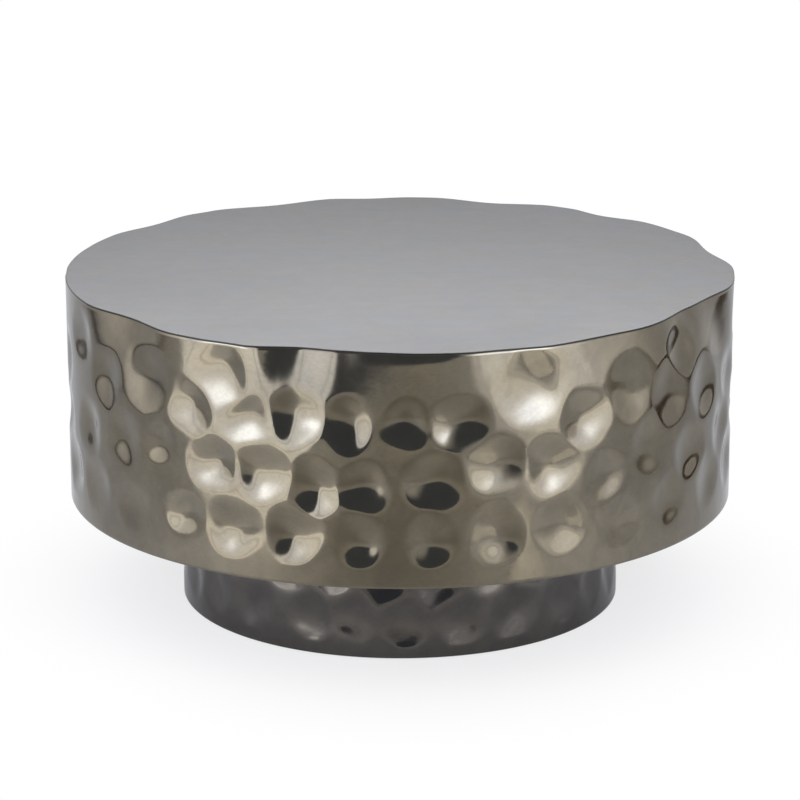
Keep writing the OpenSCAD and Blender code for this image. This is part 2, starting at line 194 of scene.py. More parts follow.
def back_row(start, drift, pitch=BACK_PITCH, size=BACK_MARK, force=BACK_FORCE):
    """Marks from start round the back to -start, in even steps of pitch. Each value strays from its
    row's by a sine, which goes on by its own odd number of degrees from mark to mark."""
    count = math.floor((360 - 2 * start) / pitch) + 1
    return [
        [
            start + i * pitch + STRAY_ANGLE * sine(i * 137 + drift),
            STRAY_HEIGHT * sine(i * 101 + 2 * drift),
            size * (1 + STRAY_SIZE * sine(i * 73 + drift)),
            force * (1 + STRAY_FORCE * sine(i * 59 + drift)),
            STRAY_LEAN * sine(i * 83 + drift),
        ]
        for i in range(count)
    ]


def placed(row, height):
    """A row's marks as an array: angle in degrees, height above the wall's foot, radius, depth, lean."""
    return np.array(row, float) * [1, MM, MM, MARK_DEPTH, MM] + [0, height, 0, 0, 0]


drum_marks = np.vstack([
    placed(row_low + back_row(87, 40), ROW_AT[0] * drum_height),
    placed(row_mid + back_row(83, 160), ROW_AT[1] * drum_height),
    placed(row_high + back_row(88, 290), ROW_AT[2] * drum_height),
    placed(row_rim, ROW_AT[3] * drum_height),
])
base_marks = np.vstack([
    placed(base_low + back_row(84, 70, *BASE_BACK), BASE_ROW_AT[0] * base_height),
    placed(base_high + back_row(90, 210, *BASE_BACK), BASE_ROW_AT[1] * base_height),
])
print("marks:", len(drum_marks), "on the drum,", len(base_marks), "on the base")

# %% [markdown]
# ## The hammered surface as a formula
# A wall is a function of two parameters, the angle round it and the height up it, that gives a
# radius. Each bowl is deepest in its middle and fades out softly at its foot, as sheet metal
# does. Taking the deepest bowl at each place would leave knife-sharp ridges, so the bowls are
# joined by the logarithm of a sum of exponentials, which rounds each ridge over about a
# millimetre.

# %% Depth of the marks
RIDGE = 0.9 * MM  # softness of the ridges between marks
WANDER = 2.5 * MM  # how far a mark's outline strays from a perfect round
ASIDE_WAVE = (29, 3.1, 0)  # degrees of the wave per degree round, per millimetre up, and at the start
UPWARD_WAVE = (31, -2.7, 70)


def turned(angle):
    """The same direction as an angle between -180 and 180 degrees."""
    return (angle + 180) % 360 - 180


def wave(angle, height, rates):
    """A sine of the angle times the first rate, plus the height times the second, plus the third."""
    per_degree, per_mm, start = rates
    return WANDER * np.sin(np.radians(per_degree * angle + per_mm * height / MM + start))


def marked(angle, height, radius, marks):
    """Depth of all marks. A bowl is its depth times (1 - u) squared, where u is the squared distance
    from the bowl's middle over its squared radius, and the middle is first moved sideways by the
    lean times (1 - u). The bowls join as ridge x ln(1 + sum of (exp(bowl / ridge) - 1)). A small
    wave in both directions keeps the bowls from being perfect rounds."""
    bowls = np.zeros(np.broadcast(angle, height).shape)
    aside = wave(angle, height, ASIDE_WAVE)
    upward = wave(angle, height, UPWARD_WAVE)
    for mark_angle, mark_height, mark_radius, depth, lean in marks:
        across = radius * np.radians(turned(angle - mark_angle)) + aside
        along = height - mark_height + upward
        u = np.minimum((across**2 + along**2) / mark_radius**2, 1)
        leaned = across - lean * (1 - u)
        u = np.minimum((leaned**2 + along**2) / mark_radius**2, 1)
        bowls += np.expm1(depth * (1 - u) ** 2 / RIDGE)
    return RIDGE * np.log1p(bowls)


across_front = marked(np.arange(-80, 81), drum_height / 2, drum_radius, drum_marks)
print("deepest mark across the drum's front:", round(across_front.max() / MM, 1), "mm")

# %% [markdown]
# ## The bent rim and the two walls
# The rim is bent inward in many places, which gives the top its wavy outline. A bend could be
# one more mark, but it runs up to the edge and stays deep there, so it has a formula of its own.
# A wall's radius is its full radius less the bends and the marks, and the marks stop short of
# the plain strips.

# %% Radius of each wall


def smooth(x):
    """0 below 0, 1 above 1, and between them 3 x squared less 2 x cubed, which joins both level."""
    t = np.clip(x, 0, 1)
    return t * t * (3 - 2 * t)


def bent(angle, height, top):
    """Depth of the rim's bends: a squared cosine across each. Up the wall it grows as t squared times
    (1 + 2 x upright x (1 - t)), where t grows from 0 at the bend's reach below the top to
    1 / (1 - upright / 3) at the top."""
    depth = np.zeros(np.broadcast(angle, height).shape)
    for bend_angle, half_width, bend_depth, reach, upright in rim_bends:
        d = np.clip(turned(angle - bend_angle) / half_width, -1, 1)
        t = np.maximum((height - top) / (reach * MM) + 1, 0) / (1 - upright / 3)
        depth += bend_depth * MM * np.cos(np.pi / 2 * d) ** 2 * t * t * (1 + 2 * upright * (1 - t))
    return depth


def drum_at(angle, height):
    """Radius of the drum at an angle in degrees and a height above its lower edge."""
    marks = marked(angle, height, drum_radius, drum_marks)
    return drum_radius - bent(angle, height, drum_wall_height) - marks * smooth((height - HEM) / FADE)


def base_at(angle, height):
    """Radius of the base at an angle in degrees and a height above its lower edge."""
    marks = marked(angle, height, base_radius, base_marks)
    ends = smooth((height - BAND) / FADE) * smooth((base_height - BAND - height) / FADE)
    return base_radius - marks * ends


rim_radius = drum_at(np.arange(360), drum_wall_height)
print("the rim's radius runs from", round(rim_radius.min(), 3), "to", round(rim_radius.max(), 3))

# %% [markdown]
# ## Meshes from grids
# Every new piece here is a grid of points, wrapped round so that its last column meets its
# first. The points are worked out as whole arrays and handed to Blender in one call, which is
# far quicker than adding them one at a time.

# %% Grid mesh


def grid_mesh(name, points, capped=False):
    """Mesh of a grid of points, rows by columns by 3, whose columns close round the table. Its last
    row joins its first, or where it is capped, both are filled in to a point in their middle."""
    rows, columns, _ = points.shape
    vertices = points.reshape(-1, 3)
    i, j = np.meshgrid(np.arange(rows - 1 if capped else rows), np.arange(columns), indexing="ij")
    up, right = (i + 1) % rows, (j + 1) % columns
    corners = (i * columns + j, i * columns + right, up * columns + right, up * columns + j)
    faces = np.stack(corners, -1).reshape(-1, 4).tolist()
    for row in (0, rows - 1) if capped else ():
        ring = row * columns + np.arange(columns)
        sides = [np.roll(ring, -1), ring] if row == 0 else [ring, np.roll(ring, -1)]
        faces += np.stack([*sides, np.full(columns, len(vertices))], -1).tolist()
        vertices = np.vstack([vertices, points[row].mean(axis=0)])
    mesh = bpy.data.meshes.new(name)
    mesh.from_pydata(vertices.tolist(), [], faces)
    mesh.polygons.foreach_set("use_smooth", np.ones(len(mesh.polygons), bool))
    mesh.update()
    thing = bpy.data.objects.new(name, mesh)
    bpy.context.scene.collection.objects.link(thing)
    print(name, len(mesh.vertices), "points", len(mesh.polygons), "faces")
    return thing


def on_wall(angle, radius, z):
    """Points at an angle in degrees from the front, a radius and a level: x is the radius times the
    angle's sine, y is minus the radius times its cosine."""
    a = np.radians(angle)
    return np.stack(np.broadcast_arrays(radius * np.sin(a), -radius * np.cos(a), z), -1)


# %% [markdown]
# ## The hammered walls
# A real wall is one strip of sheet, hammered, rolled and welded. It is made here as a closed
# shell of the sheet's thickness: up the outer face, over the edge and down the inner face. A
# Solidify modifier could give the thickness too, but this way the inner face, which nobody sees,
# has fewer points. A smooth mirror shows every facet, so the outer face has a point about every
# three millimetres.

# %% The walls
DRUM_COLUMNS = 864
DRUM_ROWS = 89
BASE_COLUMNS = 576
BASE_ROWS = 53
INNER_STEP = 4  # the inner face has one row for this many of the outer face
EDGE = 0.3 * MM  # how far the sheet's cut edges are eased


def wall(name, radius_at, height, low_z, rows, columns):
    """Closed shell: the outer face's radius at each angle and height, from the foot up, then the
    same less the sheet's thickness, from the top down. The outer face's two ends are eased."""
    heights = np.linspace(0, height, rows)
    inner_heights = heights[::-INNER_STEP]
    angles = np.arange(columns) * 360 / columns
    outer = radius_at(*np.meshgrid(angles, heights))
    inner = radius_at(*np.meshgrid(angles, inner_heights)) - SHEET
    radii = np.vstack([outer[:1] - EDGE, outer, outer[-1:] - EDGE, inner])
    levels = np.concatenate([[0, EDGE], heights[1:-1], [height - EDGE, height], inner_heights])
    return grid_mesh(name, on_wall(angles, radii, low_z + levels[:, None]))


drum = wall("drum_wall_hammered", drum_at, drum_wall_height, drum_low, DRUM_ROWS, DRUM_COLUMNS)
base = wall("base_wall_hammered", base_at, base_height, base_low_z, BASE_ROWS, BASE_COLUMNS)

# %% [markdown]
# ## The top sheet
# The top is a flat sheet cut to the bent rim's outline, and its edge is ground round by about a
# millimetre. A Bevel modifier would round it too, but rings that all follow the rim give clean
# flat faces and an edge of even width.

# %% The top sheet
EDGE_ROUND = 1.2 * MM
EDGE_STEPS = 5  # steps in each half of the edge
UNDER_RINGS = (0.05, 0.5, 0.97)  # radii of the flat rings, as shares of the rim's
TOP_RINGS = (0.99, 0.97, 0.93, 0.85, 0.7, 0.5, 0.3, 0.12, 0.03)


def top_sheet_points(columns):
    """Rings from near the middle of the underside, out and round the edge, to near the middle of the
    top. Round the edge, t goes from -90 to 90 degrees: the radius falls by an easing times
    (1 - cos t), and the level follows sin t, with a small easing below and a rounder one above."""
    angles = np.arange(columns) * 360 / columns
    rim = drum_at(angles, drum_wall_height)
    t = np.linspace(-np.pi / 2, np.pi / 2, 2 * EDGE_STEPS + 1)[:, None]
    half = (sheet_high - sheet_low) / 2
    below = sheet_low + half + half * np.sin(t)
    above = sheet_high - EDGE_ROUND + EDGE_ROUND * np.sin(t)
    edge = rim - np.where(t <= 0, EDGE, EDGE_ROUND) * (1 - np.cos(t))
    rings = np.vstack([np.outer(UNDER_RINGS, rim), edge, np.outer(TOP_RINGS, rim - EDGE_ROUND)])
    levels = np.vstack([
        np.full((len(UNDER_RINGS), 1), sheet_low),
        np.where(t <= 0, below, above),
        np.full((len(TOP_RINGS), 1), sheet_high),
    ])
    return on_wall(angles, rings, levels)


top = grid_mesh("top_sheet_satin", top_sheet_points(DRUM_COLUMNS), capped=True)

# %% [markdown]
# ## Where the new pieces belong
# The table has one body, so each new piece moves with it. Each stands for the plain piece that
# it replaces, and takes over that piece's material slot.

# %% Ride and replace
dressed = (
    (drum, "drum_wall", "wall_metal"),
    (base, "base_wall", "base_metal"),
    (top, "top_sheet", "top_metal"),
)
for piece, node, slot in dressed:
    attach(piece, "root")
    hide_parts(node)
    print(piece.name, "stands for", node)

# %% [markdown]
# ## Shader maths as Python
# A material is a graph of nodes. Writing each Math node by hand hides the idea, so a small
# class wraps a socket and turns Python's operators into Math nodes. The Shader class holds the
# graph, and one of its methods makes every node.

# %% Sockets as numbers


class Socket:
    """A shader socket that can be added to, subtracted from, multiplied and divided."""

    def __init__(self, shader, socket):
        self.shader = shader
        self.socket = socket

    def __add__(self, other):
        return self.shader.maths("ADD", self, other)

    def __sub__(self, other):
        return self.shader.maths("SUBTRACT", self, other)

    def __rsub__(self, other):
        return self.shader.maths("SUBTRACT", other, self)

    def __mul__(self, other):
        return self.shader.maths("MULTIPLY", self, other)

    def __truediv__(self, other):
        return self.shader.maths("DIVIDE", self, other)

    def __rtruediv__(self, other):
        return self.shader.maths("DIVIDE", other, self)

    __radd__ = __add__
    __rmul__ = __mul__


class Made:
    """A node that was just made, with its outputs as sockets."""

    def __init__(self, shader, node):
        self.shader = shader
        self.node = node

    def out(self, key=0):
        return Socket(self.shader, self.node.outputs[key])


class Shader:
    """The graph of a new material, or of the world, with one method that makes any node."""

    def __init__(self, owner):
        self.owner = owner
        owner.use_nodes = True
        self.tree = owner.node_tree
        self.tree.nodes.clear()

    def node(self, kind, settings=None, values=None):
        """Makes a node, sets its settings first, then sets or links each input."""
        made = self.tree.nodes.new(kind)
        for key, value in (settings or {}).items():
            setattr(made, key, value)
        for key, value in (values or {}).items():
            if isinstance(value, Socket):
                self.tree.links.new(value.socket, made.inputs[key])
            else:
                made.inputs[key].default_value = value
        return Made(self, made)

    def maths(self, operation, *inputs):
        return self.node("ShaderNodeMath", {"operation": operation}, dict(enumerate(inputs))).out()

    def place(self, scale=(1, 1, 1)):
        """Object coordinates in metres, scaled."""
        where = self.node("ShaderNodeTexCoord").out("Object")
        return self.node("ShaderNodeMapping", {}, {"Vector": where, "Scale": scale}).out()

    def split(self, vector):
        """A vector's x, y and z."""
        parts = self.node("ShaderNodeSeparateXYZ", {}, {0: vector})
        return parts.out("X"), parts.out("Y"), parts.out("Z")

    def noise(self, where, scale, detail=2.0, rough=0.5, distortion=0.0):
        values = {
            "Vector": where, "Scale": scale, "Detail": detail, "Roughness": rough, "Distortion": distortion,
        }
        return self.node("ShaderNodeTexNoise", {}, values).out("Fac")

    def ramp(self, value, low, high, to_low=0.0, to_high=1.0, soft=False):
        """Value brought from low..high to to_low..to_high, and held there outside. A soft ramp
        starts and ends level."""
        kind = {"clamp": True, "interpolation_type": "SMOOTHSTEP" if soft else "LINEAR"}
        values = {"Value": value, "From Min": low, "From Max": high, "To Min": to_low, "To Max": to_high}
        return self.node("ShaderNodeMapRange", kind, values).out()

    def bell(self, *offsets):
        """A bell curve: e to the power of minus the sum of the offsets' squares."""
        squares = offsets[0] * offsets[0]
        for offset in offsets[1:]:
            squares = squares + offset * offset
        return self.maths("EXPONENT", squares * -1)

    def blend(self, mask, a, b):
        """Colour a where the mask is 0 and colour b where it is 1."""
        return self.node("ShaderNodeMix", {"data_type": "RGBA"}, {0: mask, 6: a, 7: b}).out(2)

    def bump(self, height, distance):
        return self.node("ShaderNodeBump", {}, {"Height": height, "Distance": distance}).out()

    def end(self, shader_node, output="ShaderNodeOutputMaterial"):
        """Ends the graph in the given shader, and gives back the material or the world."""
        self.node(output, {}, {"Surface": shader_node.out()})
        return self.owner

    def finish(self, **inputs):
        """Ends the graph in a Principled surface with the given inputs."""
        values = {key.replace("_", " "): value for key, value in inputs.items()}
        return self.end(self.node("ShaderNodeBsdfPrincipled", {}, values))


def new_shader(name):
    """The empty graph of a new material."""
    return Shader(bpy.data.materials.new(name))


# %% [markdown]
# ## Polished dark nickel
# The walls are a mirror with a warm, dark tint. An image of scratches could give it wear, but
# what keeps this plate from looking like glass is small, and noise gives it: broad clouds where
# the polish is duller, a mottled patina, fine specks, and a very slight ripple of the surface.

# %% Wall metal
NICKEL = (0.202, 0.179, 0.134, 1)
NICKEL_DULL = (0.126, 0.112, 0.091, 1)
# painted shade: the base's nickel is darker than the drum's, for the shade under the drum's overhang; its
# more neutral tint is its own
BASE_SHADED_NICKEL = (0.126, 0.117, 0.107, 1)
BASE_SHADED_NICKEL_DULL = (0.08, 0.074, 0.071, 1)
NICKEL_PATCHES = (0.35, 0.7)  # the noise's values from its clear to its dull patches
NICKEL_RIPPLE = 0.4 * MM


def polished_nickel(name, clear, dull):
    """Mirror whose colour runs from clear to dull by shares of clouds, patina and specks, and whose
    roughness grows in the clouds and a little in the specks."""
    s = new_shader(name)
    where = s.place()
    clouds = s.noise(where, 9.0, detail=4.0, rough=0.6)
    patina = s.noise(where, 26.0, detail=5.0, rough=0.65, distortion=0.8)
    specks = s.noise(s.place((1, 1, 2)), 210.0, detail=3.0, rough=0.7)
    tone = (
        s.ramp(clouds, *NICKEL_PATCHES) * 0.35
        + s.ramp(patina, *NICKEL_PATCHES) * 0.45
        + s.ramp(specks, *NICKEL_PATCHES) * 0.2
    )
    ripple = s.noise(where, 18.0) * 0.7 + s.noise(where, 50.0, rough=0.4) * 0.3
    return s.finish(
        Base_Color=s.blend(tone, clear, dull),
        Metallic=1.0,
        Roughness=s.ramp(clouds, 0.3, 0.75, 0.06, 0.15) + s.ramp(specks, 0.4, 0.8, 0.0, 0.05),
        Normal=s.bump(ripple, NICKEL_RIPPLE),
    )


wall_metal = polished_nickel("wall_metal", NICKEL, NICKEL_DULL)
# the base's material is the wall metal with painted shade: darker, and a little more neutral in tint
base_metal = polished_nickel("base_metal", BASE_SHADED_NICKEL, BASE_SHADED_NICKEL_DULL)
print("walls:", wall_metal.name, "and", base_metal.name, len(wall_metal.node_tree.nodes), "nodes each")

# %% [markdown]
# ## Satin top
# The top is the same plate, rubbed to a satin: much rougher and more neutral in colour. It is
# faintly mottled, so one noise mixes a cool and a warm grey, and clouds, a fine patina and long
# soft streaks from the rubbing run from dark to pale in both. Its cut edge is coloured near black,
# a painted shadow of the seam under the top, which draws a thin line between the top and the
# wall. The edge could be a piece of its own, but the level alone tells it from the face.

# %% Top metal
COOL_DARK = (0.11, 0.114, 0.122, 1)
COOL_PALE = (0.134, 0.139, 0.15, 1)
WARM_DARK = (0.117, 0.114, 0.114, 1)
WARM_PALE = (0.143, 0.139, 0.141, 1)
# painted shadow: the near-black colour of the top's edge stands for the shade in the seam between top and
# wall
SEAM_SHADOW = (0.03, 0.028, 0.026, 1)
FACE_FROM = 0.8 * MM  # this far below the top, the cut edge begins to turn into the satin face
FACE_FULL = 0.2 * MM  # and here it has


def satin_nickel(name):
    """Rough metal whose two greys run from dark to pale by shares of clouds, streaks and patina, and
    whose mottle mixes the two."""
    s = new_shader(name)
    clouds = s.noise(s.place(), 3.2, detail=4.0, rough=0.55)
    streaks = s.noise(s.place((1.5, 9, 1)), 5.0, detail=4.0, rough=0.55)
    patina = s.noise(s.place(), 45.0, detail=5.0, rough=0.65, distortion=0.5)
    mottle = s.noise(s.place(), 17.0, detail=5.0, rough=0.6, distortion=0.6)
    tone = (
        s.ramp(clouds, 0.3, 0.7) * 0.4
        + s.ramp(streaks, 0.3, 0.7) * 0.15
        + s.ramp(patina, 0.35, 0.65) * 0.45
    )
    cool = s.blend(tone, COOL_DARK, COOL_PALE)
    warm = s.blend(tone, WARM_DARK, WARM_PALE)
    satin = s.blend(s.ramp(mottle, 0.35, 0.65), cool, warm)
    # painted shadow: below the satin face the edge turns near black, the shade in the seam
    _, _, level = s.split(s.place())
    face = s.ramp(level, sheet_high - FACE_FROM, sheet_high - FACE_FULL)
    return s.finish(
        Base_Color=s.blend(face, SEAM_SHADOW, satin),
        Metallic=1.0,
        Roughness=s.ramp(clouds, 0.3, 0.7, 0.33, 0.43) + s.ramp(streaks, 0.35, 0.7, 0.0, 0.02),
    )


top_metal = satin_nickel("top_metal")
print("top:", top_metal.name, len(top_metal.node_tree.nodes), "nodes")

# %% [markdown]
# ## Powder coat on the frame
# The hoops, rings, spokes, uprights and the underside sheet would be steel under a baked black
# powder. It is never quite flat, and dust settles on it. Fine noise as a bump gives the orange
# peel, and broad noise gives the dust. Most of the frame is hidden, so no more is needed.

# %% Frame
COAT = (0.022, 0.022, 0.023, 1)
COAT_DUSTY = (0.05, 0.048, 0.045, 1)


def powder_coat(name):
    s = new_shader(name)
    orange_peel = s.noise(s.place(), 900.0)
    dust = s.noise(s.place(), 6.0, detail=4.0, rough=0.6)
    return s.finish(
        Base_Color=s.blend(s.ramp(dust, 0.4, 0.8), COAT, COAT_DUSTY),
        Roughness=s.ramp(dust, 0.3, 0.8, 0.42, 0.6),
        Normal=s.bump(orange_peel, 0.15 * MM),
    )


frame_paint = powder_coat("frame_paint")
print("frame:", frame_paint.name, len(frame_paint.node_tree.nodes), "nodes")

# %% [markdown]
# ## Raw fibreboard
# The board that keeps the top flat would be left raw. Pressed fibres lie flat in the board, so
# fine noise is squeezed in height to make flakes, and soft clouds vary the tone between them.

# %% Board
BOARD_DARK = (0.36, 0.25, 0.15, 1)
BOARD_PALE = (0.6, 0.46, 0.3, 1)


def fibreboard(name):
    s = new_shader(name)
    flakes = s.noise(s.place((1, 1, 4)), 260.0, detail=4.0, rough=0.7)
    clouds = s.noise(s.place(), 12.0, detail=3.0)
    tone = s.ramp(flakes, 0.3, 0.7) * 0.7 + s.ramp(clouds, 0.3, 0.7) * 0.3
    return s.finish(
        Base_Color=s.blend(tone, BOARD_DARK, BOARD_PALE),
        Roughness=0.85,
        Normal=s.bump(flakes, 0.3 * MM),
    )


board = fibreboard("board")
print("board:", board.name, len(board.node_tree.nodes), "nodes")

# %% [markdown]
# ## Zinc on the fasteners
# Bolts, washers, nuts and screws are plated with zinc, whose crystals reflect unevenly. One
# noise moves both colour and roughness, so that a paler crystal is also a duller one.

# %% Fasteners
ZINC_DARK = (0.5, 0.5, 0.51, 1)
ZINC_PALE = (0.68, 0.68, 0.7, 1)


def zinc_plate(name):
    s = new_shader(name)
    spangle = s.noise(s.place(), 220.0, detail=3.0, rough=0.6)
    return s.finish(
        Base_Color=s.blend(s.ramp(spangle, 0.3, 0.7), ZINC_DARK, ZINC_PALE),
        Metallic=1.0,
        Roughness=s.ramp(spangle, 0.3, 0.7, 0.3, 0.45),
    )


zinc = zinc_plate("zinc")
print("fasteners:", zinc.name, len(zinc.node_tree.nodes), "nodes")

# %% [markdown]
# ## Moulded nylon
# The glides are dark nylon discs, which a floor scuffs. The scuffs could be painted, but fine
# noise, squeezed in height, scatters them: paler, rougher and a little raised.

# %% Glides
NYLON = (0.03, 0.03, 0.032, 1)
NYLON_SCUFFED = (0.09, 0.09, 0.09, 1)


def moulded_nylon(name):
    s = new_shader(name)
    scuffs = s.noise(s.place((1, 1, 6)), 140.0, detail=4.0, rough=0.7)
    return s.finish(
        Base_Color=s.blend(s.ramp(scuffs, 0.45, 0.8), NYLON, NYLON_SCUFFED),
        Roughness=s.ramp(scuffs, 0.3, 0.8, 0.45, 0.7),
        Normal=s.bump(scuffs, 0.2 * MM),
    )


nylon = moulded_nylon("nylon")
print("glides:", nylon.name, len(nylon.node_tree.nodes), "nodes")

# %% [markdown]
# ## Each piece gets its finish
# The construction's record names a material slot for every piece. They could be dressed one by
# one, but a loop over the record can't forget any. A second loop dresses the three new pieces.

# %% Finishes
finishes = {
    "wall_metal": wall_metal,
    "base_metal": base_metal,
    "top_metal": top_metal,
    "frame_paint": frame_paint,
    "board": board,
    "zinc": zinc,
    "nylon": nylon,
}
for part in frame["record"]["subparts"]:
    thing = frame["nodes"][part["node"]]
    thing.data.materials.clear()
    thing.data.materials.append(finishes[part["material_slot"]])
for piece, _, slot in dressed:
    piece.data.materials.append(finishes[slot])

# %% [markdown]
# ## Floor
# A mirror shows the room, so the room is part of the look. The floor is pale and plain: warm in
# front, cooler at the sides and behind, and darker before the table, a painted shadow that the
# walls reflect. To the camera it turns to pure white a short way out, so that only a soft shadow
# round the foot is left, and a little of that white shows in reflections there too. No real floor
# is like that, so the Light Path node tells the camera's rays from those that a mirror sends on.

# %% Floor
FLOOR_RADIUS = 2.75
FLOOR_SIDES = 96
WHITE = (1, 1, 1, 1)
SIDE_FLOOR = (0.88, 0.89, 0.93, 1)
BACK_FLOOR = (0.72, 0.74, 0.8, 1)
FRONT_FLOOR = (0.87, 0.84, 0.77, 1)
# painted shadow: the darker floor colour before the table stands for the table's shadow
FLOOR_SHADOW = (0.5, 0.475, 0.44, 1)
FLOOR_GRAIN = (0.9, 0.9, 0.9, 1)
FRONT_WIDTH = 0.6  # reach of the warm front to either side
SHADOW_AT = -0.95  # middle of the darker patch, on the front's side of the table
SHADOW_WIDTH = 0.42
SHADOW_LENGTH = 0.45


def floor_material():
    """Matt floor, mixed with glowing white by what kind of ray looks at it and how far out."""
    s = new_shader("floor")
    x, y, _ = s.split(s.place())
    far = s.node("ShaderNodeVectorMath", {"operation": "LENGTH"}, {0: s.place()}).out("Value")
    grain = s.noise(s.place(), 30.0, detail=3.0)
    front = s.bell(x / FRONT_WIDTH) * s.ramp(y, -0.6, 0.0, 1.0, 0.0, soft=True)
    sides = s.blend(s.ramp(y, -0.2, 0.8, soft=True), SIDE_FLOOR, BACK_FLOOR)
    pale = s.blend(front, sides, FRONT_FLOOR)
    pale = s.blend(s.ramp(grain, 0.3, 0.7, 0.0, 0.3), pale, FLOOR_GRAIN)
    # painted shadow: a bell before the table darkens the floor's colour, which the walls reflect
    shadow_patch = s.bell(x / SHADOW_WIDTH, (y - SHADOW_AT) / SHADOW_LENGTH)
    lit = s.node("ShaderNodeBsdfDiffuse", {}, {"Color": s.blend(shadow_patch, pale, FLOOR_SHADOW)})
    white = s.node("ShaderNodeEmission", {}, {"Color": WHITE, "Strength": 1.0})
    ray = s.node("ShaderNodeLightPath")
    shown = s.ramp(far, 0.3, 0.62, 0.72, 1.0, soft=True) * ray.out("Is Camera Ray")
    mirrored = s.ramp(far, 0.45, 0.75, 0.15, 0.0, soft=True) * ray.out("Is Glossy Ray")
    mask = shown + mirrored
    return s.end(s.node("ShaderNodeMixShader", {}, {0: mask, 1: lit.out(), 2: white.out()}))


floor_points = on_wall(np.arange(FLOOR_SIDES) * 360 / FLOOR_SIDES, FLOOR_RADIUS, 0)
floor_mesh = bpy.data.meshes.new("floor")
floor_mesh.from_pydata(floor_points.tolist(), [], [list(range(FLOOR_SIDES))])
floor = bpy.data.objects.new("floor", floor_mesh)
floor_mesh.materials.append(floor_material())
bpy.context.scene.collection.objects.link(floor)
print("floor:", 2 * FLOOR_RADIUS, "m across")

# %% [markdown]
# ## Background
# The background is white to the camera and to reflections. Its light on other things is a
# little softer, so that pale surfaces keep their tone. A backdrop of cloth could do the same,
# but the world needs no mesh and has no edge.

# %% World
WORLD_LIGHT = 0.9

world = bpy.data.worlds.new("studio")
bpy.context.scene.world = world
s = Shader(world)
ray = s.node("ShaderNodeLightPath")
seen = s.maths("MAXIMUM", ray.out("Is Camera Ray"), ray.out("Is Glossy Ray"))
seen = s.maths("MAXIMUM", seen, ray.out("Is Transmission Ray"))
light = s.ramp(seen, 0.0, 1.0, WORLD_LIGHT, 1.0)
s.end(s.node("ShaderNodeBackground", {}, {"Color": WHITE, "Strength": light}), "ShaderNodeOutputWorld")
print("world:", world.name, len(world.node_tree.nodes), "nodes")

# %% [markdown]
# ## Cards
# Polished metal needs something bright and something dark to reflect. A point lamp would show in
# it as a hard dot, so everything here is a card: a strip of faces that glows. None of them shows
# to the camera, and each has a map that tells its shader where on the card a point lies.

# %% Card mesh


def stage_card(name, points, places, material):
    """Card from two rows of points, the lower row first, with the places of the points as its map."""
    columns = points.shape[1]
    i = np.arange(columns - 1)
    faces = np.stack([i, i + 1, i + columns + 1, i + columns], -1)
    mesh = bpy.data.meshes.new(name)
    mesh.from_pydata(points.reshape(-1, 3).tolist(), [], faces.tolist())
    layer = mesh.uv_layers.new(name="places")
    layer.data.foreach_set("uv", places.reshape(-1, 2)[faces.ravel()].ravel())
    mesh.materials.append(material)
    card = bpy.data.objects.new(name, mesh)
    card.visible_camera = False
    bpy.context.scene.collection.objects.link(card)
    print("card", name, len(mesh.polygons), "faces")
    return card


# %% [markdown]
# ## Soft lights
# Two soft lights stand on the floor in front of the table, close to it, one on either side: a
# box with round corners on the left and a round one on the right. A photographer's softbox is
# brightest where its lamp sits and fades at its edge, so a bell curve adds a bright, bluish
# middle, and the distance from the edge makes the fade. A thin, darker seam inside the edge
# draws a fine line in each reflection. On the right, a narrow warm strip lies on the floor and
# carries the light's reflection on downwards. An area lamp is simpler, but it has no seam.

# %% Soft lights
GLOW_LOW = (1.0, 0.985, 0.96, 1)
GLOW_HIGH = (0.92, 0.965, 1.09, 1)
HOT_COLOUR = (0.87, 0.97, 1.18, 1)
SEAM_AT = 0.1  # how far the seam lies inside the edge
SEAM_WIDTH = 0.018
SEAM_DEPTH = 0.45  # share of the glow that it takes away
LIGHT_COLUMNS = 9


def edge_distance(s, u, v, half_width, half_height, corner):
    """Distance from the edge of a rectangle with round corners, less than 0 inside: the length of
    what lies past its inner rectangle, less the corner's radius."""
    past_u = s.maths("MAXIMUM", s.maths("ABSOLUTE", u) - (half_width - corner), 0.0)
    past_v = s.maths("MAXIMUM", s.maths("ABSOLUTE", v) - (half_height - corner), 0.0)
    return s.maths("SQRT", past_u * past_u + past_v * past_v) - corner


def light_material(name, size, corner, fade, glow, hot, hot_at, hot_size, lying):
    """Glow of the given strength, with hot added round one place as a bell curve, less a thin seam,
    and faded out towards the edge. It is warmer low down than high up, or warm all over if lying."""
    s = new_shader(name)
    u, v, _ = s.split(s.node("ShaderNodeTexCoord").out("UV"))
    bell = s.bell((u - hot_at[0]) / hot_size[0], (v - hot_at[1]) / hot_size[1])
    edge = edge_distance(s, u, v, size[0] / 2, size[1] / 2, corner)
    from_seam = s.maths("ABSOLUTE", edge + SEAM_AT)
    seam = s.ramp(from_seam, 0.0, SEAM_WIDTH, 1 - SEAM_DEPTH, 1.0, soft=True)
    if lying:
        colour = GLOW_LOW
    else:
        colour = s.blend(bell, s.blend(s.ramp(v, -0.4, 0.0), GLOW_LOW, GLOW_HIGH), HOT_COLOUR)
    light = s.node("ShaderNodeEmission", {}, {"Color": colour, "Strength": (bell * hot + glow) * seam})
    mask = s.ramp(edge, -fade, 0.0, 1.0, 0.0, soft=True)
    clear = s.node("ShaderNodeBsdfTransparent")
    return s.end(s.node("ShaderNodeMixShader", {}, {0: mask, 1: clear.out(), 2: light.out()}))


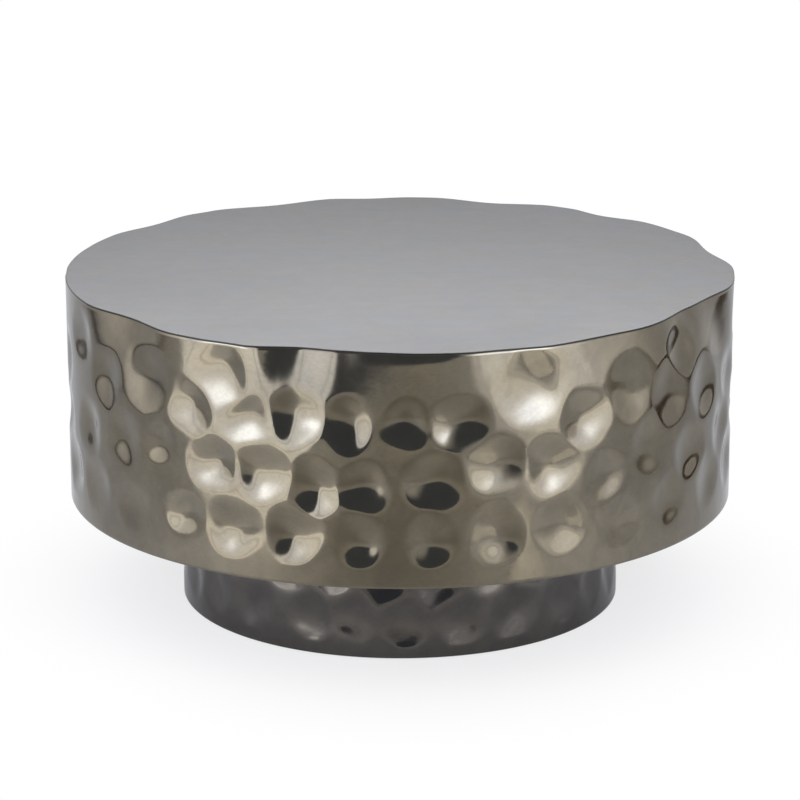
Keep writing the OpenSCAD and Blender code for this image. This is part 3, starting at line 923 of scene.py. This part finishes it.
def soft_light(name, azimuth, distance, middle, size, corner, fade, glow,
               hot=0.0, hot_at=(0, 0), hot_size=(1, 1), lying=False):
    """Flat card that faces the table from an azimuth, a distance and a level of its middle, or that
    lies on the floor in line with the table. It ends at the floor."""
    width, height = size
    foot = -height / 2 if lying else max(-height / 2, -middle)
    u = np.linspace(-width / 2, width / 2, LIGHT_COLUMNS)
    v = np.array([[foot], [height / 2]])
    out, level = (distance + v, middle) if lying else (distance, middle + v)
    x = out * sine(azimuth) + u * cosine(azimuth)
    y = -out * cosine(azimuth) + u * sine(azimuth)
    points = np.stack(np.broadcast_arrays(x, y, level), -1)
    places = np.stack(np.broadcast_arrays(u, v), -1)
    material = light_material(name, size, corner, fade, glow, hot, hot_at, hot_size, lying)
    stage_card(name, points, places, material)


soft_light(
    "left_light", azimuth=-42, distance=1.0, middle=0.43, size=(0.8, 0.9), corner=0.33, fade=0.04,
    glow=2.9, hot=4.2, hot_at=(-0.05, 0.03), hot_size=(0.17, 0.12),
)
soft_light(
    "right_light", azimuth=42.5, distance=1.1, middle=0.48, size=(0.96, 0.96), corner=0.48, fade=0.14,
    glow=2.6, hot=4.4, hot_at=(-0.17, 0.05), hot_size=(0.23, 0.16),
)
soft_light(
    "right_spill", azimuth=33, distance=0.98, middle=0.002, size=(0.17, 0.4), corner=0.08, fade=0.06,
    glow=1.7, lying=True,
)

# %% [markdown]
# ## The room in the mirror
# Curved cards stand round the table in place of a room, and show in reflections only. A dark one
# on the camera's side, whose right end fades, gives the marks their dark crescents. Pale ones at
# the sides stand for walls that a light brightens at their near end. Thin dark bands between
# floor and wall draw the fine dark lines round the marks, and the right one fades at its far
# end. A bright one behind, dark at its lower edge, shades the top from front to back. An image
# of a real room could do all this at once, but a card can be moved and dimmed by itself.

# %% The room
CURVE_COLUMNS = 25
FRONT_DARK = (0.17, 0.19, 0.23)
SIDE_DISTANCE = 1.97
WALL_TOP = 2.2


def curved_card(name, start, end, distance, low, high, first_shade, last_shade, upward=False):
    """Card round the table between two azimuths and two levels, shaded from one end to the other, or
    from its lower to its upper edge."""
    angles = np.linspace(start, end, CURVE_COLUMNS)
    levels = np.array([[low], [high]])
    s = new_shader(name)
    u, v, _ = s.split(s.node("ShaderNodeTexCoord").out("UV"))
    share = s.ramp(v, low, high) if upward else s.ramp(u, start, end, soft=True)
    shade = s.blend(share, (*first_shade, 1), (*last_shade, 1))
    light = s.node("ShaderNodeEmission", {}, {"Color": shade, "Strength": 1.0})
    places = np.stack(np.broadcast_arrays(angles, levels), -1)
    card = stage_card(name, on_wall(angles, distance, levels), places, s.end(light))
    card.visible_shadow = False
    card.visible_diffuse = False


def card_run(names, stops, distance, low, high):
    """Curved cards end to end, from stops that each give an azimuth and the shade there."""
    for name, (start, first_shade), (end, last_shade) in zip(names, stops, stops[1:]):
        curved_card(name, start, end, distance, low, high, first_shade, last_shade)


card_run(
    ["front_dark", "front_dark_end"],
    [(-30, FRONT_DARK), (15, FRONT_DARK), (23, (0.85, 0.85, 0.87))],
    distance=2.7, low=0.0, high=3.2,
)
card_run(
    ["left_glow", "left_wall"],
    [(-66, (2.2, 2.2, 2.25)), (-105, (0.85, 0.85, 0.88)), (-132, (0.95, 0.95, 0.98))],
    distance=SIDE_DISTANCE, low=0.1, high=WALL_TOP,
)
card_run(
    ["right_glow", "right_wall"],
    [(64, (1.6, 1.6, 1.62)), (95, (0.8, 0.8, 0.83)), (132, (0.95, 0.95, 0.98))],
    distance=SIDE_DISTANCE, low=0.15, high=WALL_TOP,
)
card_run(
    ["left_line", "left_far_line"],
    [(-75, (0.7, 0.68, 0.66)), (-100, (0.12, 0.1, 0.09)), (-132, (0.2, 0.18, 0.17))],
    distance=SIDE_DISTANCE, low=0.0, high=0.05,
)
card_run(
    ["right_line", "right_far_line", "right_line_end"],
    [
        (75, (0.7, 0.68, 0.66)), (100, (0.1, 0.07, 0.05)),
        (114, (0.15, 0.12, 0.1)), (132, (0.9, 0.9, 0.93)),
    ],
    distance=SIDE_DISTANCE, low=0.0, high=0.11,
)
curved_card(
    "back_light", start=142, end=218, distance=1.3, low=0.55, high=1.7,
    first_shade=(0.1, 0.1, 0.1), last_shade=(5.0, 5.0, 5.04), upward=True,
)

# %% [markdown]
# ## View transform
# The view transform stays plain, so that a colour renders about as it is written.

# %% Finish
bpy.context.scene.view_settings.view_transform = "Standard"
